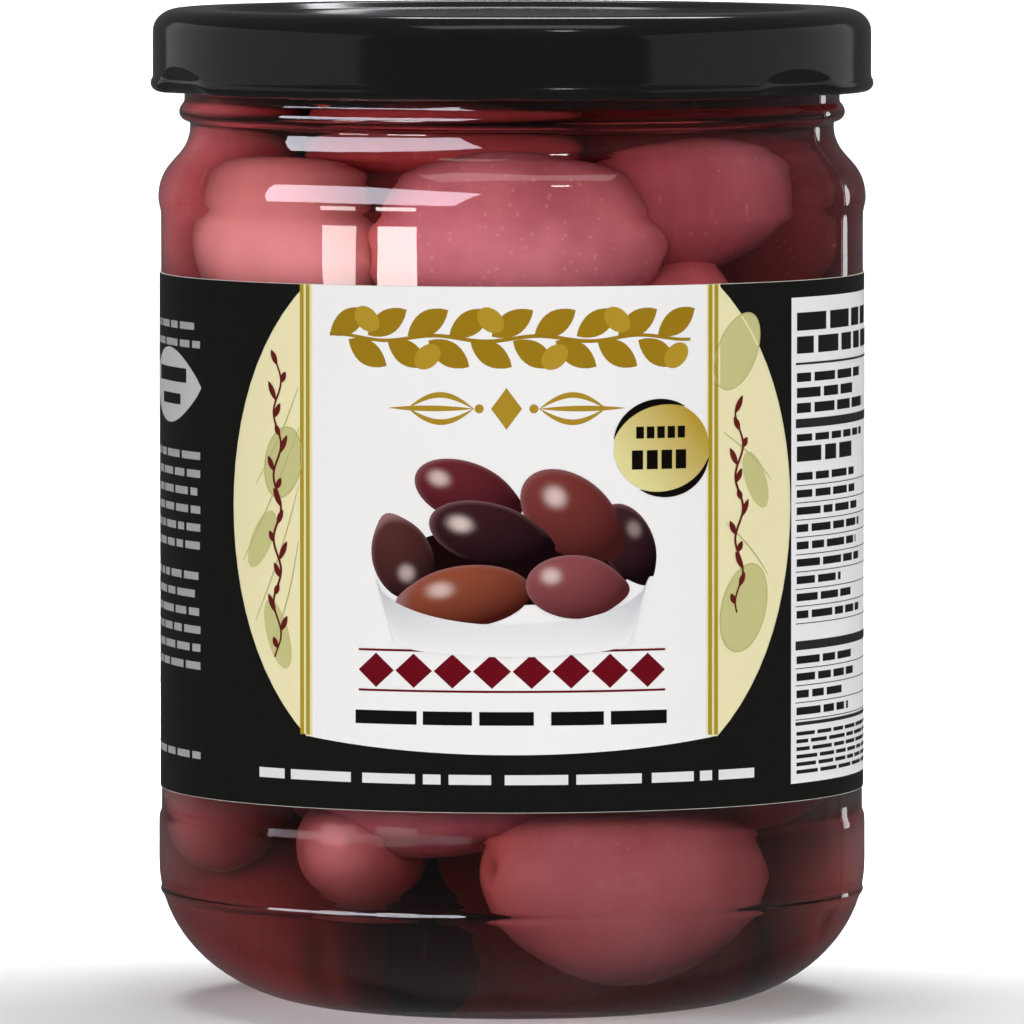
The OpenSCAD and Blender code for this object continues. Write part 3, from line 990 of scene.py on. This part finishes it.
# in the wings, faint olives and leaves by middle, half length, half thickness and lean, blades of grass by
# foot and tip, and maroon sprays by place, foot, tip and length of leaf
wings = dict(
    outlined=[((26.9, 74.9), 4.6, 2.7, 60), ((27.9, 46.5), 5.0, 3.2, 70), ((-27.4, 62.6), 4.0, 2.6, 75)],
    plain=[((29.6, 60.6), 3.4, 1.5, -65), ((-30.6, 54.0), 3.6, 1.5, 60), ((-28.2, 43.6), 4.0, 1.6, 110)],
    blades=[((24.9, 66.0), (32.0, 60.5)), ((-25.2, 71.0), (-31.5, 60.0)), ((-25.1, 66.5), (-33.6, 51.5)),
            ((-25.2, 60.0), (-31.5, 45.0)), ((-25.2, 54.0), (-29.0, 42.0)), ((25.2, 56.0), (31.5, 50.0))],
    sprays=[(-28.2, 41.0, 74.3, 3.1), (27.1, 46.0, 69.0, 2.9)])


def printWings():
    ovals = wings["outlined"] + wings["plain"]
    printInk("labelFaintFill", [ovalLine(*oval) for oval in ovals], inks["wingFill"], 3)
    lines = [ringLine(*oval, 0.14) for oval in wings["outlined"]]
    for (s0, z0), (s1, z1) in wings["blades"]:
        bow = [(s0 + (s1 - s0) * t + sin(pi * t) * 0.5, z0 + (z1 - z0) * t) for t in evenly(0, 1, 8)]
        lines.append(strokeLine(bow, 0.16, 0.6))
    printInk("labelFaintLine", lines, inks["wingLine"], 4)
    spray = []
    for s, low, high, long in wings["sprays"]:
        spray.append(strokeLine([(s + 0.55 * sin(z * 0.9), z) for z in evenly(low, high, 60)], 0.3, 0.3))
        count = round((high - low) / 2.0)
        for k in range(count):
            z = low + (k + 0.5) * (high - low) / count
            stem = (s + 0.55 * sin(z * 0.9), z)
            spray.append(leafLine(stem, long * (0.75 + 0.25 * (k % 3)) * 0.62, 0.75, 62 if k % 2 else 118))
    printInk("labelSpray", spray, inks["spray"], 5)


crest = dict(branchZ=76.7, branch=(-21, 20.5), leaves=(-20.2, 19.6), leafLong=5.4, leafWide=2.7, pitch=2.3,
            swashS=-0.6, swashZ=69.0, lozengeW=1.7, lozengeH=2.3, dotAway=3.0, dotR=0.5, strokeAway=3.6,
            strokes=[(1.5, 7.4), (-1.5, 7.4), (0.0, 9.6)])


# a gold garland in the middle's head, and under it a lozenge between two swelling strokes
def printHead():
    branchZ = crest["branchZ"]
    leaves, fruits = garland(*crest["leaves"], branchZ, crest["leafLong"], crest["leafWide"], crest["pitch"])
    branch = [(s, branchZ + 0.3 * sin(s * 0.55)) for s in evenly(*crest["branch"], 50)]
    printInk("labelGold", leaves + [strokeLine(branch, 0.42, 0.2)], inks["gold"], 3, 0.3)
    printInk("labelGoldFruit", fruits, inks["fruit"], 4, 0.3)
    s, z, w, h = crest["swashS"], crest["swashZ"], crest["lozengeW"], crest["lozengeH"]
    swash = [[(s, z + h), (s + w, z), (s, z - h), (s - w, z)]]
    for sign in (-1, 1):
        swash.append(ovalLine((s + sign * crest["dotAway"], z), crest["dotR"], crest["dotR"], 0, 16))
    for sign in (1, -1):
        for tall, far in crest["strokes"]:
            path = [(s + sign * (crest["strokeAway"] + far * t), z + tall * sin(pi * t))
                    for t in evenly(0, 1, 24)]
            swash.append(strokeLine(path, 0.62, 0.95))
    printInk("labelSwash", swash, inks["swash"], 3, 0.3)


caption = dict(lozenges=8, pitch=4.37, half=17.5, midZ=40.1, lozengeW=2.1, lozengeH=1.9, ruleHalf=17.4,
            rules=(37.75, 42.2), ruleH=0.25, wordZ=34.9, wordH=1.5, lineZ=(27.6, 28.7),
            words=[(-17.8, -10.6), (-9.9, -4.4), (-3.6, 2.4), (4.3, 10.2), (11.0, 17.6)],
            line=[(-31.0, -27.2), (-26.3, -18.4), (-17.0, -10.8), (-9.9, -7.9), (-7.0, -2.3), (-0.8, 6.2),
                  (7.1, 14.6), (15.8, 21.0), (21.8, 23.4), (24.3, 29.4)])


# the words under the bowl and along the foot become plain lozenges and bars
def printFoot():
    w, h, mid = caption["lozengeW"], caption["lozengeH"], caption["midZ"]
    ruleHalf = caption["ruleHalf"]
    lozenges = []
    for k in range(caption["lozenges"]):
        s = -caption["half"] + caption["pitch"] * (k + 0.5)
        lozenges.append([(s, mid + h), (s + w, mid), (s, mid - h), (s - w, mid)])
    lozenges += [barLine(-ruleHalf, ruleHalf, z, z + caption["ruleH"]) for z in caption["rules"]]
    printInk("labelMaroon", lozenges, inks["maroon"], 3)
    low, high = caption["wordZ"] - caption["wordH"] / 2, caption["wordZ"] + caption["wordH"] / 2
    printInk("labelWords", [barLine(a, b, low, high) for a, b in caption["words"]], inks["words"], 3)
    printInk("labelFoot", [barLine(a, b, *caption["lineZ"]) for a, b in caption["line"]], inks["foot"], 1)


# breaks a line of print into bars for its words
def wordBars(s, end, z, tall, shortest, longest, gap, stop=None):
    bars = []
    while s < end:
        word = random.uniform(shortest, longest)
        bars.append(barLine(s, min(s + word, stop or end), z - tall / 2, z + tall / 2))
        s += word + gap
    return bars


# the table of facts on the right: headRows gives height, letter height and length, and blocks gives first
# height, rows, pitch, letter height, least and greatest length, and how far below each row its rule lies
facts = dict(s=(35.5, 84.0), z=(26.5, 80.5), textS=36.5, ruleS=(36.3, 83.2), ruleH=0.1, seed=5,
             headRows=[(77.8, 2.0, 22), (75.2, 1.9, 26), (71.6, 1.0, 18), (69.9, 1.1, 15), (68.2, 1.1, 20),
                       (64.9, 0.8, 19), (63.1, 1.7, 14)],
             blocks=[(60.6, 9, 1.92, 0.85, 10, 18, 1.05), (40.2, 4, 1.9, 0.85, 10, 16, 1.0),
                     (32.0, 6, 0.85, 0.42, 32, 44, 0)],
             heavyRules=[(73.0, 73.25), (66.0, 67.0), (41.3, 42.3), (32.9, 33.3)])


def printFacts():
    printInk("labelTable", [barLine(*facts["s"], *facts["z"])], inks["table"], 1)
    random.seed(facts["seed"])
    rows = list(facts["headRows"])
    rules = []
    for top, count, pitch, tall, least, most, ruleDrop in facts["blocks"]:
        for k in range(count):
            z = top - k * pitch
            rows.append((z, tall, random.uniform(least, most)))
            if ruleDrop:
                rules.append((z - ruleDrop, z - ruleDrop + facts["ruleH"]))
    bars = []
    s = facts["textS"]
    for z, tall, long in rows:
        grow = 1.3 if tall > 1.5 else 1
        bars += wordBars(s, s + long, z, tall, 2.2 * grow, 5.0 * grow, 0.5 + tall * 0.25)
    printInk("labelFacts", bars, inks["facts"], 2)
    rules += facts["heavyRules"]
    printInk("labelRules", [barLine(*facts["ruleS"], low, high) for low, high in rules], inks["rules"], 2)


# small print on the left: first height, lines and letter height of each block
smallPrint = dict(s=-84.0, end=-43.0, stop=-42.2, pitch=2.0,
                  blocks=[(77.0, 2, 0.8), (62.6, 6, 0.85), (49.2, 6, 0.85), (29.2, 1, 0.8)])


def printSmallPrint():
    bars = []
    for top, lines, tall in smallPrint["blocks"]:
        for k in range(lines):
            s = smallPrint["s"] + random.uniform(0, 3)
            z = top - k * smallPrint["pitch"]
            bars += wordBars(s, smallPrint["end"], z, tall, 1.6, 5.4, 0.75, smallPrint["stop"])
    printInk("labelSmallPrint", bars, inks["smallPrint"], 1)


# round the back a bar code without numbers and two plain lines, and a pale leaf shape beside the small print
back = dict(fields=[(91, 112, 29, 45), (-112, -92, 74, 75.2), (-110, -94, 71.6, 72.4)],
            codeS=(92.6, 110), codeZ=(30.5, 43.5), leaf=((-61.5, 70.2), 19.6, 8.4, 0, 20),
            leafBars=[(-57.4, -45.8, 70.6, 72.2), (-55.0, -47.6, 68.1, 69.3)])


def printBack():
    printInk("labelCodeField", [barLine(*bar) for bar in back["fields"]], inks["codeField"], 1)
    code = []
    s, end = back["codeS"]
    while s < end:
        wide = random.choice((0.25, 0.25, 0.5, 0.75))
        code.append(barLine(s, s + wide, *back["codeZ"]))
        s += wide + random.choice((0.25, 0.4, 0.6))
    printInk("labelCode", code, inks["code"], 2)
    printInk("labelOval", [leafLine(*back["leaf"])], inks["oval"], 1)
    printInk("labelOvalBars", [barLine(*bar) for bar in back["leafBars"]], inks["ovalBars"], 2)


def shadeInk(piece, tones):
    layer = piece.data.color_attributes.new("ink", "FLOAT_COLOR", "POINT")
    layer.data.foreach_set("color", [c for tone in tones for c in tone])


# printed pictures are shaded as they are laid: colour gives each spot of an oval its ink
def printShaded(name, level, mid, w, h, lean, colour, point=0.0, above=None, rings=14, around=44):
    points, tones = [], []
    base = inkR(level)
    for layer in (0.0, label["inkThick"]):
        for i in range(rings + 1):
            for j in range(around):
                t = i / rings
                a = 2 * pi * j / around
                u = t * (cos(a) + point * max(0.0, cos(a)) ** 10)
                v = t * sin(a)
                s, z = leaned(mid, w * u, h * v, lean)
                if above:
                    z = max(z, above(s))
                points.append(onSheet(s, z, base + layer))
                tones.append(colour(u, v, s, z))
    faces = []
    n = (rings + 1) * around
    for i in range(rings):
        for j in range(around):
            a, b = i * around + j, i * around + (j + 1) % around
            faces.append((n + a, n + b, n + b + around, n + a + around))
            faces.append((a, a + around, b + around, b))
    for j in range(around):
        a, b = rings * around + j, rings * around + (j + 1) % around
        faces.append((a, b, n + b, n + a))
    piece = linkMesh(name, points, faces)
    shadeInk(piece, tones)
    faceOutward(piece.data, 1e-7)
    piece.data.set_sharp_from_angle(angle=radians(40))
    return piece


def blend(a, b, t):
    t = min(1.0, max(0.0, t))
    return tuple(x + (y - x) * t for x, y in zip(a, b))


# the printed olives, from the back of the bowl to its front: name, middle, half length, half thickness, lean,
# dark ink, light ink, place of the shine, its strength
printedOlives = [
    ("printedOliveA", (-12.2, 52.4), 4.6, 3.5, 112, (34, 18, 20), (92, 52, 50), (-0.35, 0.05), 0.55),
    ("printedOliveB", (12.9, 54.2), 4.6, 3.0, -62, (26, 14, 18), (70, 40, 46), (-0.2, 0.45), 0.3),
    ("printedOliveC", (-5.2, 59.9), 5.8, 3.3, -18, (54, 18, 26), (112, 44, 52), (-0.55, 0.15), 0.75),
    ("printedOliveD", (6.5, 57.3), 6.3, 4.2, -38, (66, 28, 28), (132, 62, 58), (-0.42, 0.12), 0.8),
    ("printedOliveE", (-2.7, 55.3), 6.6, 3.4, -13, (26, 13, 17), (66, 36, 42), (-0.48, 0.1), 0.85),
    ("printedOliveF", (-4.9, 48.4), 7.0, 3.4, 186, (70, 26, 20), (158, 84, 60), (0.42, -0.28), 0.7),
    ("printedOliveG", (6.9, 49.4), 5.4, 3.5, -4, (84, 38, 42), (150, 82, 86), (-0.5, 0.3), 0.75),
]
bowl = dict(rimS=15.4, rimZ=50.4, sag=5.2, footS=13.2, footZ=43.3, footSag=1.6, level=12, rows=12, across=40,
            hollowMid=(0.3, 51.8), hollowW=13.6, hollowH=4.4, lightFrom=125)


def bowlEdge(s):
    return bowl["rimZ"] - bowl["sag"] * sqrt(max(0.0, 1 - (s / bowl["rimS"]) ** 2))


# dark hollows between the olives, then each olive, cut off along the bowl's edge
def printOlives():
    hollow = ovalLine(bowl["hollowMid"], bowl["hollowW"], bowl["hollowH"])
    printInk("printedHollow", [[(s, max(z, bowlEdge(s) - 0.05)) for s, z in hollow]], inks["hollow"], 3)
    for k, (name, mid, w, h, lean, dark, light, shine, gloss) in enumerate(printedOlives):
        lightTurn = radians(bowl["lightFrom"] - lean)
        lightWay = (cos(lightTurn), sin(lightTurn))

        def shade(u, v, s, z):
            flat = u * lightWay[0] + v * lightWay[1]
            up = sqrt(max(0.0, 1 - min(1.0, u * u + v * v)))
            tone = blend(ink(dark), ink(light), 0.28 + 0.5 * flat + 0.3 * up)
            rim = max(0.0, (u * u + v * v - 0.80) / 0.2)
            tone = blend(tone, ink(inks["oliveRim"]), rim * max(0.0, 0.25 + 0.45 * flat))
            spot = exp(-(((u - shine[0]) / 0.20) ** 2 + ((v - shine[1]) / 0.26) ** 2) ** 1.6)
            return blend(tone, ink(inks["oliveShine"]), spot * gloss)

        piece = printShaded(name, 4 + k, mid, w, h, lean, shade, 0.16, bowlEdge)
        piece.data.materials.append(inkSkin(name))
        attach(piece, "root")


# the bowl is white, greyer at its sides and paler towards its foot
def printBowl():
    rows, across = bowl["rows"], bowl["across"]
    points, tones, faces = [], [], []
    for layer in (0.0, label["inkThick"]):
        for t in evenly(0, 1, rows):
            for share in evenly(-1, 1, across):
                s = share * (bowl["rimS"] + (bowl["footS"] - bowl["rimS"]) * t)
                upper = bowlEdge(share * bowl["rimS"])
                lower = bowl["footZ"] - bowl["footSag"] * sqrt(max(0.0, 1 - share * share))
                points.append(onSheet(s, upper + (lower - upper) * t, inkR(bowl["level"]) + layer))
                tone = blend(ink(inks["china"]), ink(inks["chinaSide"]), (abs(s) / bowl["rimS"]) ** 3)
                tones.append(blend(tone, ink(inks["white"]), t ** 1.5))
    w = across + 1
    n = (rows + 1) * w
    for i in range(rows):
        for j in range(across):
            a = i * w + j
            faces += [(n + a, n + a + w, n + a + w + 1, n + a + 1), (a, a + 1, a + w + 1, a + w)]
    border = ([j for j in range(w)] + [i * w + across for i in range(1, rows + 1)]
              + [rows * w + j for j in range(across - 1, -1, -1)] + [i * w for i in range(rows - 1, 0, -1)])
    for a, b in zip(border, border[1:] + border[:1]):
        faces.append((a, n + a, n + b, b))
    piece = linkMesh("printedBowl", points, faces)
    shadeInk(piece, tones)
    piece.data.set_sharp_from_angle(angle=radians(40))
    piece.data.materials.append(inkSkin("printedBowl"))
    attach(piece, "root")


badge = dict(mid=(17.1, 64.5), w=5.8, h=5.0, level=6, crescents=[(62, 168), (242, 348)], crescentOut=0.1,
             rows=[(13.9, 1.25, 0.9, 65.6, 66.9, 5), (13.4, 1.75, 1.3, 62.2, 64.3, 4)])


# the round badge, gold deepening to its upper right, between two dark crescents, with two rows of blocks
def printBadge():
    def gilt(u, v, s, z):
        return blend(ink(inks["giltLight"]), ink(inks["giltDark"]), 0.45 + 0.55 * (u * 0.8 + v * 0.6))

    piece = printShaded("badge", badge["level"], badge["mid"], badge["w"], badge["h"], 0, gilt)
    piece.data.materials.append(inkSkin("badge", rough=0.3))
    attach(piece, "root")
    w, h = badge["w"] + badge["crescentOut"], badge["h"] + badge["crescentOut"]
    dark = [strokeLine(arcPoints(badge["mid"], w, h, start, end, 30), 0.8, 0.97)
            for start, end in badge["crescents"]]
    for s, pitch, wide, low, high, count in badge["rows"]:
        dark += [barLine(s + pitch * k, s + wide + pitch * k, low, high) for k in range(count)]
    printInk("badgeCrescents", dark, inks["badge"], 8)


makePaper()
printGround()
printWings()
printHead()
printFoot()
printFacts()
printSmallPrint()
printBack()
printOlives()
printBowl()
printBadge()
print("label printed:", len(inkPieces), "inks")
